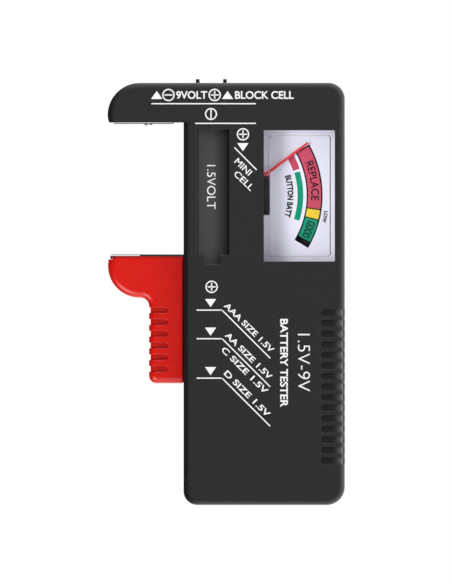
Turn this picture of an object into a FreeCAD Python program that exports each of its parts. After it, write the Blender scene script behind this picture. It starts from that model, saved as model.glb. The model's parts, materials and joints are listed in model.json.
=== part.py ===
"""Hand-held analogue battery tester, built as its separate pieces. Millimetres.

Frame: +Z up, -Y towards the reader, +X to the reader's right. The origin is the centre of the
housing's bottom face. Cells are clamped upright in the open jaw on the left, between the fixed arm
at the top (negative) and the sliding red grip (positive). A moving-coil meter reads out through the
window at the upper right.
"""

import math
import os

import FreeCAD, Part

V = FreeCAD.Vector
X_AXIS, Y_AXIS, Z_AXIS = V(1, 0, 0), V(0, 1, 0), V(0, 0, 1)

# Housing
WIDTH, HEIGHT, DEPTH = 42.0, 110.0, 25.0
LEFT, RIGHT = -WIDTH / 2, WIDTH / 2
FRONT, REAR = -DEPTH / 2, DEPTH / 2
PARTING = 0.0                 # plane where the two covers meet
WALL = 1.6
EDGE_ROUND = 1.5              # rounding of the front and rear rims
CORNER_TOP, CORNER_BOTTOM_RIGHT, CORNER_BOTTOM_LEFT = 4.2, 4.7, 3.6
ARM_REACH = 19.8              # how far the fixed arm stands out past the housing's left side
ARM_UNDER = 99.66             # height of the arm's underside
ARM_ROUND = 8.4
ARM_NOSE, ARM_NOSE_ROUND, ARM_TUCK = 1.2, 3.5, 0.42   # the arm's end leans in over its last stretch
TIGHTEST = 0.3                # smallest corner radius of an inner outline
LIP, LIP_GAP, LIP_DEEP = 0.7, 0.12, 1.4   # locating lip of the rear cover
SHUT_GAP = 0.3                # clearance between pieces that move past each other
OVERCUT = 1.0                 # how far a cutter runs past the face that it opens

# Cell-shaped recess in the front face
TROUGH_X, TROUGH_LOW, TROUGH_HIGH = -13.4, 65.2, 97.9
TROUGH_HALF, TROUGH_DEPTH = 4.15, 2.0
TROUGH_SKIN, TROUGH_RIM = 1.3, 0.25   # thickness behind it, and rounding of its rim
NUB_HALF, NUB_LOW = 1.9, 62.8

# Window and the grip slots down the right edge
WINDOW_LEFT, WINDOW_RIGHT, WINDOW_LOW, WINDOW_HIGH = -0.1, 18.5, 63.45, 97.65
SLOT_COUNT, SLOT_FIRST, SLOT_PITCH = 15, 50.1, -2.757
SLOT_HALF, SLOT_INNER_X = 0.87, 14.65
SLOT_CUT, SLOT_SIDE_CUT, SLOT_ROUND = 0.95, 0.4, 2.8   # depth in front and at the side, floor's rounding
SLOT_RIM = 0.2
SLOT_END = PARTING - 1.2      # how far back the slots run

# Sliding grip, drawn where it stands half way down
GRIP_TOP, GRIP_BOTTOM = 64.8, 31.7
GRIP_HALF_DEPTH, GRIP_ROUND = 7.5, 1.9
GRIP_SIDE_X = -30.0           # finger side of the grip
WING_ROUND_X, WING_ROUND_Z, WING_ROUND = -32.4, 62.3, 8.3
WING_FILLET, GRIP_CORNER = 2.2, 2.0
NOTCH_COUNT, NOTCH_FIRST, NOTCH_PITCH = 6, 50.75, -3.06
NOTCH_HALF, NOTCH_INNER_X = 0.7, -25.1
NOTCH_CUT, NOTCH_SIDE_CUT, NOTCH_ROUND, NOTCH_RIM = 0.7, 0.4, 1.0, 0.2
NECK_HALF, NECK_LEFT, NECK_BOTTOM = 2.6, -22.5, 31.9
CARRIAGE_HALF, CARRIAGE_LEFT, CARRIAGE_RIGHT = 4.6, -19.1, -16.6
CARRIAGE_BOTTOM = 33.7
TRAVEL_UP, TRAVEL_DOWN = 32.0, 29.0
STRIP = 0.5                   # thickness of the grip's contact strip
STRIP_HALF = 8.0              # it stands a little proud of the grip, front and rear
STRIP_LEFT = -40.1
STRIP_LEG_BOTTOM = 64.1
STRIP_INNER_HALF, STRIP_INNER_BOTTOM = 2.5, 42.0
SEAT_RIGHT = -32.4            # end of the raised seat that a cell stands on
SEAT_RISE, SEAT_FOOT, SEAT_SLOPE = 0.14, 0.12, 0.16
WIPER, WIPER_HALF, WIPER_LIFT = 0.25, 1.6, 0.08       # thickness, half width, gap to the rail
WIPER_LOW, WIPER_HIGH = 45.0, 58.0                    # ends of its bow
WIPER_FOOT_LOW, WIPER_FOOT_HIGH = 42.4, 60.4
RIVET_R, RIVET_HEAD, RIVET_ZS = 0.7, 0.4, (43.7, 59.2)

# Negative leaf under the arm
LEAF, LEAF_TOP, LEAF_HALF = 0.25, 99.55, 3.0
LEAF_LEFT, LEAF_RIGHT, LEAF_LEG_TOP = -39.2, -23.6, 103.4
POCKET_TOP, POCKET_LEFT, POCKET_RIGHT = 100.65, -39.55, -23.0
DOME_X, DOME_HALF, DOME_HEIGHT = -30.1, 1.3, 0.72
TAG_HALF, TAG_RISE = 1.0, 2.2
LEG_POST_LEFT, LEG_POST_RIGHT = 1.6, 1.3              # thickness of the posts beside its leg
LEAF_POST_GAP = 1.2           # half of the gap between the front and the rear posts

# Contact rail inside, and the rib that backs it
RAIL_X, RAIL, RAIL_HALF, RAIL_LOW, RAIL_HIGH = -14.3, 0.4, 2.5, 5.5, 96.5
RAIL_TAG_HALF = 0.9
GUIDE_RIGHT = LEFT + 3.4      # ribs that the carriage runs along
RIB_THICK, RIB_INSET, RIB_END, RIB_FRONT = 1.0, 0.2, 1.5, -4.4
SHELF_LEFT, SHELF_RIGHT, SHELF_REAR = -10.0, 17.0, -2.0   # level ribs below the meter
SHELF, SHELF_GAP = 1.2, 0.1

# Nine-volt contacts on the top edge
PIN_R, PIN_RISE, PIN_XS, PIN_Y = 0.5, 1.0, (-17.3, -10.2), -4.0
PIN_FOOT, PIN_SHOULDER_R, PIN_FLANGE_R, PIN_FLANGE = 106.0, 0.7, 1.3, 0.5
PIN_ROUND = 0.2

# Screws: (x, z) of each
SCREWS = ((-34.0, 104.8), (15.0, 103.4), (-8.0, 7.4), (14.6, 7.4))
SCREW_R, HEAD_R, HEAD_HIGH, HEAD_SEAT = 1.2, 2.3, 1.6, 8.6
SCREW_LENGTH, SCREW_TIP, SCREW_POINT_R, HEAD_ROUND = 15.0, 0.8, 0.3, 0.7
CROSS_REACH, CROSS_HALF, CROSS_DEPTH = 1.35, 0.27, 1.1
BOSS_R, HOLE_GAP = 2.9, 0.05
REAR_BOSS_EXTRA, BOSS_SEAT_GAP = 0.5, 0.12            # the rear bosses are wider and sit round the front ones

# Meter
AXIS_X, AXIS_Z = -6.8, 80.7
METER_LEFT, METER_RIGHT, METER_LOW, METER_HIGH = -12.6, 19.15, 62.5, 98.6
ROOF, PANE_FRONT = -9.0, -12.65
PANE_LEFT, PANE_RIGHT, PANE_LOW, PANE_HIGH = 0.0, 18.4, 63.55, 97.55
PANE_WALL, METER_WALL, CARD_GAP = 1.25, 0.8, 0.1
BEVEL_DEPTH, BEVEL_CORNER, PANE_CORNER = 0.45, 0.6, 0.2
BEVEL_STEPS = ((0.18, 0.28), (1.05, 0.16), (1.3, 0.0))    # inset, and depth behind the pane's face
WELL_INSET_FRONT, WELL_INSET_REAR = 1.4, 1.1              # the block's hollow widens towards the dial
BASE_FRONT, BASE_REAR = 3.2, 4.4
DIAL_FRONT, DIAL = -5.9, 0.4
DIAL_POST_XS, DIAL_POST_INSET, DIAL_POST_R = (-9.9, -2.6), 3.2, 1.3
DIAL_REST_INSET = 2.5
BAY_LEFT, BAY_RIGHT, BAY_HALF = -12.5, 1.5, 5.15          # the dial's opening round the movement
DIAL_SCREW_R, DIAL_SCREW_HEAD_R, DIAL_SCREW_HEAD, DIAL_SCREW_LENGTH = 0.45, 0.95, 0.6, 3.0
DIAL_SCREW_SLOT, DIAL_SCREW_SLOT_HALF = 0.25, 0.12
TERMINAL_XS, TERMINAL_Z, TERMINAL_R, TERMINAL_TAIL = (2.0, 12.0), METER_LOW + 8.0, 0.5, 0.8
NEEDLE_REST = 37.0            # degrees above +X
NEEDLE_SWEEP = 73.0
STOP_LEAD = 6.3               # angle from the needle's middle to a stop pin's middle
STOP_REACH, STOP_R, STOP_RISE, STOP_FOOT_HALF, STOP_FOOT, STOP_FOOT_THICK = 7.4, 0.3, 0.4, 0.5, 1.3, 0.3
NEEDLE_LENGTH, NEEDLE_TAIL = 22.8, 3.3
ROOT_HALF, TIP_HALF, TAIL_HALF = 0.45, 0.28, 0.3
HUB_R, HUB_FRONT, HUB_REAR = 0.85, 0.1, 0.6           # hub's reach before and behind the blade's front
BALANCE_REACH, BALANCE_R, BALANCE_LENGTH = 2.75, 0.7, 1.54
NEEDLE_FRONT, NEEDLE = -6.9, 0.12
CORE_R, RING_IN, RING_OUT = 2.4, 4.0, 4.7
CORE_FRONT, CORE_REAR = -4.2, 0.4
EAR_HALF, EAR_INSET, EAR_BITE = 0.9, 0.6, 0.4
RING_BITE = 0.1               # how far what stands under the ring keeps from its bore
YOKE_FOOT_HALF, BRIDGE_HALF = 1.5, 1.4
COIL_FRONT, COIL_REAR = -5.2, 1.4
FORMER_X, FORMER, FORMER_HALF = 2.75, 0.2, 0.85       # inner half width, thickness, half height
WINDING, WINDING_WALL, WINDING_HALF = 0.5, 0.35, 0.7
COIL_ANGLE = 0.5 * NEEDLE_SWEEP   # so that the coil crosses the gaps evenly at mid swing
STAFF_R, COLLET_R, FLANGE = 0.2, 0.5, 0.25
STAFF_FRONT, STAFF_REAR = -7.75, 3.45
BRIDGE_FRONT, BRIDGE_REAR = -7.95, -7.3
JEWEL_R, JEWEL_CUP_GAP = 0.8, 0.06
FRONT_JEWEL, REAR_JEWEL = (-8.0, -7.2, -7.85, 1), (3.0, 4.4, 3.55, -1)   # front, rear, cup's floor and way
SPIRAL, SPIRAL_PITCH, SPIRAL_TURNS = 0.1, 0.42, 3
FRONT_SPIRAL, REAR_SPIRAL = (-6.2, -5.75), (2.2, 2.65)
PEG_LEFT, PEG_MARGIN = 1.3, 0.2

# Circuit board behind the meter
BOARD_LEFT, BOARD_RIGHT, BOARD_LOW, BOARD_HIGH = -11.5, 17.5, 66.0, 95.5
BOARD_FRONT, BOARD_REAR = 5.2, 6.4
RESISTOR_LIFT, RESISTOR_REACH, RESISTOR_ROUND = 0.3, 1.6, 0.35
LEAD_R = 0.6


def box(x0, x1, y0, y1, z0, z1):
    return Part.makeBox(x1 - x0, y1 - y0, z1 - z0, V(x0, y0, z0))


def rod_y(x, z, radius, y0, y1):
    return Part.makeCylinder(radius, y1 - y0, V(x, y0, z), Y_AXIS)


def rod_z(x, y, radius, z0, z1):
    return Part.makeCylinder(radius, z1 - z0, V(x, y, z0), Z_AXIS)


def turned(shape, degrees):
    """The shape turned about the needle's axis; positive is anticlockwise to the reader."""
    result = shape.copy()
    result.rotate(V(AXIS_X, 0, AXIS_Z), Y_AXIS, -degrees)
    return result


def fuse(first, *others):
    return first.fuse(list(others)).removeSplitter()


def prism(edges, y0, y1):
    """A closed XZ outline, drawn at any depth, as a solid from y0 to y1."""
    face = Part.Face(Part.Wire(edges))
    face.translate(V(0, y0 - face.BoundBox.YMin, 0))
    return face.extrude(V(0, y1 - y0, 0))


def rounded_outline(corners):
    """Edges of a closed XZ outline. Each corner is (x, z, radius); radius 0 is a sharp corner."""
    count = len(corners)
    starts, arcs = [], []
    for i, (x, z, radius) in enumerate(corners):
        here = V(x, 0, z)
        before = V(corners[i - 1][0], 0, corners[i - 1][1])
        after = V(corners[(i + 1) % count][0], 0, corners[(i + 1) % count][1])
        back, ahead = (before - here).normalize(), (after - here).normalize()
        if radius == 0:
            starts.append((here, here))
            arcs.append(None)
            continue
        half = back.getAngle(ahead) / 2
        reach = radius / math.tan(half)
        middle = (back + ahead).normalize()
        centre = here + middle * (radius / math.sin(half))
        starts.append((here + back * reach, here + ahead * reach))
        arcs.append(centre - middle * radius)
    edges = []
    for i, arc in enumerate(arcs):
        enter, leave = starts[i]
        if arc is not None:
            edges.append(Part.Arc(enter, arc, leave).toShape())
        following = starts[(i + 1) % count][0]
        if (following - leave).Length > 1e-6:
            edges.append(Part.LineSegment(leave, following).toShape())
    return edges


def outline_edges(shape, depth):
    """Edges of a prism's rim that lie in the plane y = depth."""
    return [e for e in shape.Edges if all(abs(v.Point.y - depth) < 1e-6 for v in e.Vertexes)]


def arm_end(inset):
    """Lower corner of the arm's end: it leans in outside, and is square on an inner outline."""
    left, low = LEFT - ARM_REACH + inset, ARM_UNDER + inset
    if inset > 0:
        return [(left, low, TIGHTEST)]
    return [(left + ARM_TUCK, low, 0), (left, low + ARM_NOSE, ARM_NOSE_ROUND)]


def housing_corners(inset):
    """Housing and arm outline, moved inwards by inset."""
    def rounding(radius):
        return max(radius - inset, TIGHTEST)

    return [
        (LEFT + inset, inset, rounding(CORNER_BOTTOM_LEFT)),
        (LEFT + inset, ARM_UNDER + inset, 0),
        *arm_end(inset),
        (LEFT - ARM_REACH + inset, HEIGHT - inset, rounding(ARM_ROUND)),
        (RIGHT - inset, HEIGHT - inset, rounding(CORNER_TOP)),
        (RIGHT - inset, inset, rounding(CORNER_BOTTOM_RIGHT)),
    ]


def housing_block(y0, y1, rim):
    """Solid slice of the housing. Its rim at depth y = rim is rounded, except under the arm."""
    block = prism(rounded_outline(housing_corners(0)), y0, y1)

    def rounds(edge):
        level = edge.BoundBox.ZLength < 1e-6
        return not (level and abs(edge.BoundBox.ZMin - ARM_UNDER) < 1e-6)

    return block.makeFillet(EDGE_ROUND, [e for e in outline_edges(block, rim) if rounds(e)])


def capsule(inner_x, outer_x, z, half, y0, y1):
    """A level slot cutter with a round end at inner_x, open towards outer_x."""
    way = 1 if outer_x > inner_x else -1
    centre = inner_x + way * half
    bar = box(min(centre, outer_x), max(centre, outer_x), y0, y1, z - half, z + half)
    return fuse(bar, rod_y(centre, z, half, y0, y1))


def trough(outward):
    """The recess's cell shape with a round bottom; outward 0 is the air, TROUGH_SKIN its skin."""
    low, high = TROUGH_LOW - outward, TROUGH_HIGH + outward
    ellipse = Part.Ellipse(V(TROUGH_X, FRONT, 0), TROUGH_HALF + outward, TROUGH_DEPTH + outward)
    section = Part.Face(Part.Wire(ellipse.toShape()))
    section.translate(V(0, 0, NUB_LOW - outward))
    whole = section.extrude(V(0, 0, high - NUB_LOW + outward))
    half = NUB_HALF + outward
    front, rear = FRONT - DEPTH, PARTING
    body = box(TROUGH_X - WIDTH, TROUGH_X + WIDTH, front, rear, low, high)
    nub = box(TROUGH_X - half, TROUGH_X + half, front, rear, NUB_LOW - outward, low)
    return whole.common(body.fuse(nub).removeSplitter())


def trough_rim(edge):
    """Whether an edge lies round the recess's mouth."""
    inside = edge.BoundBox
    level = abs(inside.YMin - FRONT) < 1e-6 and inside.YLength < 1e-6
    left, right = TROUGH_X - TROUGH_HALF, TROUGH_X + TROUGH_HALF
    beside = inside.XMin > left - 0.01 and inside.XMax < right + 0.01
    return level and beside and inside.ZMin > NUB_LOW - 0.01 and inside.ZMax < TROUGH_HIGH + 0.01


def travel_slot():
    """Opening in the left wall that the grip's neck runs in."""
    low = NECK_BOTTOM - TRAVEL_DOWN - SHUT_GAP
    high = GRIP_TOP + STRIP + TRAVEL_UP + SHUT_GAP
    half = NECK_HALF + SHUT_GAP
    return box(LEFT - OVERCUT, LEFT + WALL + OVERCUT, -half, half, low, high)


def arm_openings():
    """Pocket that the negative leaf flexes in, and the slot that its leg passes through."""
    half = LEAF_HALF + SHUT_GAP
    pocket = box(POCKET_LEFT, POCKET_RIGHT, -half, half, ARM_UNDER - OVERCUT, POCKET_TOP)
    leg_left = LEAF_RIGHT - LEAF - SHUT_GAP
    slot = box(leg_left, POCKET_RIGHT, -half, half, ARM_UNDER, ARM_UNDER + WALL + OVERCUT)
    return pocket.fuse(slot)


def grip_slots():
    """Finger slots across the front cover's right edge, with a floor that rounds to the side."""
    side, front = RIGHT - SLOT_SIDE_CUT, FRONT + SLOT_CUT
    core = box(LEFT, side, front, PARTING, 0, HEIGHT)
    corner = [e for e in outline_edges(core, front) if e.BoundBox.XMin > side - 1e-6]
    core = core.makeFillet(SLOT_ROUND, corner)
    cutters = []
    for i in range(SLOT_COUNT):
        z = SLOT_FIRST + i * SLOT_PITCH
        bar = capsule(SLOT_INNER_X, RIGHT + OVERCUT, z, SLOT_HALF, FRONT - OVERCUT, SLOT_END)
        cutters.append(bar.cut(core))
    return cutters


def slot_rim(edge):
    """Whether an edge lies round a finger slot's mouth in the front face."""
    inside = edge.BoundBox
    level = abs(inside.YMin - FRONT) < 1e-6 and inside.YLength < 1e-6
    slot_high = inside.ZLength < 2 * SLOT_HALF + 0.01 and inside.XLength > 0.01
    return level and slot_high and inside.XMin > SLOT_INNER_X - 0.01 and inside.ZMax < SLOT_FIRST + 1


def inner_block(y0, y1):
    return prism(rounded_outline(housing_corners(WALL)), y0, y1)


def guide_rib(y0, y1):
    """Rib beside the left wall that the carriage runs along."""
    return box(LEFT + WALL, GUIDE_RIGHT, y0, y1, WALL, GRIP_TOP + TRAVEL_UP + STRIP + SHUT_GAP)


def leaf_posts(y0, y1):
    """Posts in the arm on both sides of the leaf's leg, which hold it loosely upright."""
    low, high = ARM_UNDER + WALL, LEAF_LEG_TOP - SHUT_GAP
    left, right = LEAF_RIGHT - LEAF - SHUT_GAP, LEAF_RIGHT + SHUT_GAP
    left_post = box(left - LEG_POST_LEFT, left, y0, y1, low, high)
    return left_post.fuse(box(right, right + LEG_POST_RIGHT, y0, y1, low, high))


def level_rib(y0, y1, z):
    """Level rib below the meter."""
    return box(SHELF_LEFT, SHELF_RIGHT, y0, y1, z, z + SHELF)


def front_cover():
    cover = housing_block(FRONT, PARTING, FRONT)
    hollow = inner_block(FRONT + WALL, PARTING + OVERCUT).cut(trough(TROUGH_SKIN))
    cover = cover.cut(hollow).cut(trough(0))
    cover = cover.makeFillet(TROUGH_RIM, [e for e in cover.Edges if trough_rim(e)])
    window_rear = FRONT + WALL + OVERCUT
    window = box(WINDOW_LEFT, WINDOW_RIGHT, FRONT - OVERCUT, window_rear, WINDOW_LOW, WINDOW_HIGH)
    cover = cover.cut(window).cut([travel_slot(), arm_openings()])
    cover = cover.cut(grip_slots())
    cover = cover.makeFillet(SLOT_RIM, [e for e in cover.Edges if slot_rim(e)])
    extras = [guide_rib(FRONT + WALL, -CARRIAGE_HALF - SHUT_GAP)]
    extras.append(leaf_posts(FRONT + WALL, -LEAF_POST_GAP))
    extras.append(level_rib(FRONT + WALL, SHELF_REAR, METER_LOW - SHELF_GAP - SHELF))
    for x, z in SCREWS:
        extras.append(rod_y(x, z, BOSS_R, FRONT + WALL, PARTING - SHUT_GAP))
    inside = inner_block(FRONT + WALL / 2, PARTING)
    cover = fuse(cover, *[e.common(inside) for e in extras])
    for x, z in SCREWS:
        cover = cover.cut(rod_y(x, z, SCREW_R + HOLE_GAP, FRONT + WALL + SCREW_TIP, PARTING))
    for x in PIN_XS:
        low, high = HEIGHT - WALL - OVERCUT, HEIGHT + OVERCUT
        cover = cover.cut(rod_z(x, PIN_Y, PIN_SHOULDER_R + HOLE_GAP, low, high))
    return cover


def rear_lip():
    """Locating lip that stands inside the front cover's wall."""
    front, rear = PARTING - LIP_DEEP - OVERCUT, PARTING + 2 * OVERCUT
    outer = prism(rounded_outline(housing_corners(WALL + LIP_GAP)), PARTING - LIP_DEEP, PARTING + OVERCUT)
    inner = prism(rounded_outline(housing_corners(WALL + LIP_GAP + LIP)), front, rear)
    lip = outer.cut(inner)
    left_gap = box(LEFT, RAIL_X + RIB_THICK, front, rear, WALL, LEAF_LEG_TOP)
    right_gap = box(METER_RIGHT - RIB_THICK, RIGHT, front, rear, METER_LOW - OVERCUT, METER_HIGH + OVERCUT)
    arm_gap = box(LEFT - ARM_REACH, POCKET_RIGHT + 2, front, rear, ARM_UNDER, LEAF_LEG_TOP)
    return lip.cut([left_gap, right_gap, arm_gap])


def rear_ribs():
    """Ribs that hold the meter forward, and the long rib that backs the contact rail."""
    rear = REAR - WALL
    right, left = METER_RIGHT - RIB_INSET, RAIL_X + RAIL
    top = METER_HIGH - RIB_END
    upright = box(right - RIB_THICK, right, BASE_REAR, rear, METER_LOW + RIB_END, top)
    backing = box(left, left + RIB_THICK, RIB_FRONT, rear, WALL, top)
    return [upright, backing, level_rib(BASE_REAR, rear, METER_LOW + RIB_INSET)]


def rear_cover():
    cover = housing_block(PARTING, REAR, REAR)
    cover = cover.cut(inner_block(PARTING - OVERCUT, REAR - WALL))
    cover = cover.cut([travel_slot(), arm_openings()])
    extras = [guide_rib(CARRIAGE_HALF + SHUT_GAP, REAR - WALL)]
    extras.append(leaf_posts(LEAF_POST_GAP, REAR - WALL))
    extras += rear_ribs()
    for x, z in SCREWS:
        extras.append(rod_y(x, z, BOSS_R + REAR_BOSS_EXTRA, PARTING, REAR - WALL))
    inside = inner_block(RIB_FRONT, REAR - WALL / 2)
    cover = fuse(cover, *[e.common(inside) for e in extras])
    cover = fuse(cover, rear_lip())
    for x, z in SCREWS:
        cover = cover.cut(rod_y(x, z, BOSS_R + BOSS_SEAT_GAP, PARTING - 2 * LIP_DEEP, PARTING))
        cover = cover.cut(rod_y(x, z, SCREW_R + SHUT_GAP, PARTING - OVERCUT, REAR))
        cover = cover.cut(rod_y(x, z, HEAD_R + SHUT_GAP, HEAD_SEAT, REAR + OVERCUT))
    return cover


def case_screw(x, z):
    """Pan-head self-tapping screw with a cross recess."""
    point, top = HEAD_SEAT - SCREW_LENGTH, HEAD_SEAT + HEAD_HIGH
    shank = rod_y(x, z, SCREW_R, point + SCREW_TIP, HEAD_SEAT)
    tip = Part.makeCone(SCREW_POINT_R, SCREW_R, SCREW_TIP, V(x, point, z), Y_AXIS)
    head = rod_y(x, z, HEAD_R, HEAD_SEAT, top)
    head = head.makeFillet(HEAD_ROUND, outline_edges(head, top))
    floor = top - CROSS_DEPTH
    cross = [
        box(x - across, x + across, floor, REAR, z - along, z + along)
        for across, along in ((CROSS_REACH, CROSS_HALF), (CROSS_HALF, CROSS_REACH))
    ]
    return fuse(shank, tip, head).cut(cross)


def grip_outline():
    """Outline of the grip outside the housing: wing on top, finger side below."""
    tip_z = STRIP_LEG_BOTTOM - 0.1
    tip_x = WING_ROUND_X - math.sqrt(WING_ROUND**2 - (tip_z - WING_ROUND_Z) ** 2)
    low_z = WING_ROUND_Z - WING_ROUND
    right = LEFT - SHUT_GAP
    shelf_x = STRIP_LEFT + STRIP + 0.02
    fillet_x, fillet_z = GRIP_SIDE_X - WING_FILLET, low_z - WING_FILLET
    turn = math.sqrt(0.5)
    corner_x, corner_z = GRIP_SIDE_X + GRIP_CORNER, GRIP_BOTTOM + GRIP_CORNER

    def line(x0, z0, x1, z1):
        return Part.LineSegment(V(x0, 0, z0), V(x1, 0, z1)).toShape()

    def arc(cx, cz, radius, *points):
        return Part.Arc(*[V(cx + radius * a, 0, cz + radius * b) for a, b in points]).toShape()

    tip = ((tip_x - WING_ROUND_X) / WING_ROUND, (tip_z - WING_ROUND_Z) / WING_ROUND)
    return [
        line(right, GRIP_TOP, shelf_x, GRIP_TOP),
        line(shelf_x, GRIP_TOP, shelf_x, tip_z),
        line(shelf_x, tip_z, tip_x, tip_z),
        arc(WING_ROUND_X, WING_ROUND_Z, WING_ROUND, tip, (-turn, -turn), (0, -1)),
        line(WING_ROUND_X, low_z, fillet_x, low_z),
        arc(fillet_x, fillet_z, WING_FILLET, (0, 1), (turn, turn), (1, 0)),
        line(GRIP_SIDE_X, fillet_z, GRIP_SIDE_X, corner_z),
        arc(corner_x, corner_z, GRIP_CORNER, (-1, 0), (-turn, -turn), (0, -1)),
        line(corner_x, GRIP_BOTTOM, right, GRIP_BOTTOM),
        line(right, GRIP_BOTTOM, right, GRIP_TOP),
    ]


def rounded_grip(outline, half, radius):
    """The grip's outline as a solid, its outer front and rear edges rounded."""
    block = prism(outline, -half, half)
    right = LEFT - SHUT_GAP

    def rounds(edge):
        box_ = edge.BoundBox
        level = abs(abs(box_.YMin) - half) < 1e-6 and box_.YLength < 1e-6
        flat_end = box_.XMin > right - 1e-6 or box_.ZMin > STRIP_LEG_BOTTOM - 0.2
        return level and not flat_end

    return block.makeFillet(radius, [e for e in block.Edges if rounds(e)])


def notch_core():
    """What the finger notches leave standing: they are shallow at the side and deeper in front."""
    left = GRIP_SIDE_X + NOTCH_SIDE_CUT
    depth = GRIP_HALF_DEPTH - NOTCH_CUT
    core = box(left, LEFT, -depth, depth, GRIP_BOTTOM, GRIP_TOP)
    side_edges = [e for e in core.Edges if e.BoundBox.XMax < left + 1e-6 and e.BoundBox.ZLength > 1]
    return core.makeFillet(NOTCH_ROUND, side_edges)


def notch_rim(edge):
    """Whether an edge lies round a finger notch's mouth in the grip's front or rear face."""
    inside = edge.BoundBox
    level = abs(abs(inside.YMin) - GRIP_HALF_DEPTH) < 1e-6 and inside.YLength < 1e-6
    notch_high = inside.ZLength < 2 * NOTCH_HALF + 0.01 and inside.XLength > 0.01
    beside = inside.XMax < NOTCH_INNER_X + 0.01
    return level and notch_high and beside and inside.ZMin > GRIP_BOTTOM + 1 and inside.ZMax < NOTCH_FIRST + 1


def slider_grip():
    block = rounded_grip(grip_outline(), GRIP_HALF_DEPTH, GRIP_ROUND)
    core = notch_core()
    for i in range(NOTCH_COUNT):
        z = NOTCH_FIRST + i * NOTCH_PITCH
        bar = capsule(NOTCH_INNER_X, GRIP_SIDE_X - OVERCUT, z, NOTCH_HALF, -STRIP_HALF, STRIP_HALF)
        block = block.cut(bar.cut(core))
    block = block.makeFillet(NOTCH_RIM, [e for e in block.Edges if notch_rim(e)])
    neck = box(NECK_LEFT, CARRIAGE_LEFT + RIB_THICK, -NECK_HALF, NECK_HALF, NECK_BOTTOM, GRIP_TOP)
    carriage = box(CARRIAGE_LEFT, CARRIAGE_RIGHT, -CARRIAGE_HALF, CARRIAGE_HALF, CARRIAGE_BOTTOM, GRIP_TOP)
    return fuse(block, neck, carriage)


def strip_edge_cut(way):
    """What is taken off the strip's front (way -1) or rear (way 1) to leave a sloped, raised seat."""
    out, back = way * (STRIP_HALF + OVERCUT), way * (STRIP_HALF - SEAT_SLOPE)
    edge, foot, seat = way * STRIP_HALF, GRIP_TOP + SEAT_FOOT, GRIP_TOP + STRIP - SEAT_RISE
    corners = [(out, foot), (edge, foot), (back, seat), (back, seat + OVERCUT), (out, seat + OVERCUT)]
    points = [V(STRIP_LEFT - OVERCUT, y, z) for y, z in corners]
    profile = Part.Face(Part.makePolygon(points + points[:1]))
    return profile.extrude(V(SEAT_RIGHT - STRIP_LEFT + OVERCUT, 0, 0))


def slider_contact_strip():
    """Bright strip over the grip, bent down at the wing's tip and down the carriage inside."""
    top, right, half = GRIP_TOP + STRIP, CARRIAGE_RIGHT + STRIP, STRIP_INNER_HALF
    outside = box(STRIP_LEFT, LEFT - STRIP, -STRIP_HALF, STRIP_HALF, GRIP_TOP, top)
    tip = box(STRIP_LEFT, STRIP_LEFT + STRIP, -STRIP_HALF, STRIP_HALF, STRIP_LEG_BOTTOM, top)
    inside = box(NECK_LEFT, right, -half, half, GRIP_TOP, top)
    leg = box(CARRIAGE_RIGHT, right, -half, half, STRIP_INNER_BOTTOM, top)
    strip = fuse(outside, tip, inside, leg)

    def bends(edge):
        box_ = edge.BoundBox
        at_end = box_.XMin < STRIP_LEFT + 1e-6 or box_.XMax > right - 1e-6
        return box_.YLength > 1 and abs(box_.ZMax - top) < 1e-6 and box_.XLength < 1e-6 and at_end

    strip = strip.makeFillet(STRIP * 0.9, [e for e in strip.Edges if bends(e)])
    return strip.cut([strip_edge_cut(-1), strip_edge_cut(1)])


def wiper_spring():
    """Bowed leaf riveted to the strip's inner leg; its crown rubs the contact rail."""
    foot = CARRIAGE_RIGHT + STRIP
    crown = RAIL_X - WIPER_LIFT - WIPER - foot
    middle = (WIPER_LOW + WIPER_HIGH) / 2

    def bow(offset):
        ends = [V(foot + offset, 0, z) for z in (WIPER_LOW, WIPER_HIGH)]
        return ends[0], V(foot + crown + offset, 0, middle), ends[1]

    inner, outer = bow(0.0), bow(WIPER)
    edges = [Part.Arc(*inner).toShape(), Part.LineSegment(inner[2], outer[2]).toShape()]
    edges += [Part.Arc(*outer).toShape(), Part.LineSegment(outer[0], inner[0]).toShape()]
    arch = prism(edges, -WIPER_HALF, WIPER_HALF)
    joint = 0.1
    feet = [
        box(foot, foot + WIPER, -WIPER_HALF, WIPER_HALF, WIPER_FOOT_LOW, WIPER_LOW + joint),
        box(foot, foot + WIPER, -WIPER_HALF, WIPER_HALF, WIPER_HIGH - joint, WIPER_FOOT_HIGH),
    ]
    return fuse(arch, *feet)


def wiper_rivets():
    foot = CARRIAGE_RIGHT + STRIP + WIPER
    return [Part.makeCylinder(RIVET_R, RIVET_HEAD, V(foot, 0, z), X_AXIS) for z in RIVET_ZS]


def contact_rail():
    """Plated strip down the rib inside, with a solder tag at its top."""
    strip = box(RAIL_X, RAIL_X + RAIL, -RAIL_HALF, RAIL_HALF, RAIL_LOW, RAIL_HIGH)
    tag = box(RAIL_X, RAIL_X + RAIL, -RAIL_TAG_HALF, RAIL_TAG_HALF, RAIL_LOW, METER_HIGH + 2.0)
    return fuse(strip, tag)


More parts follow.
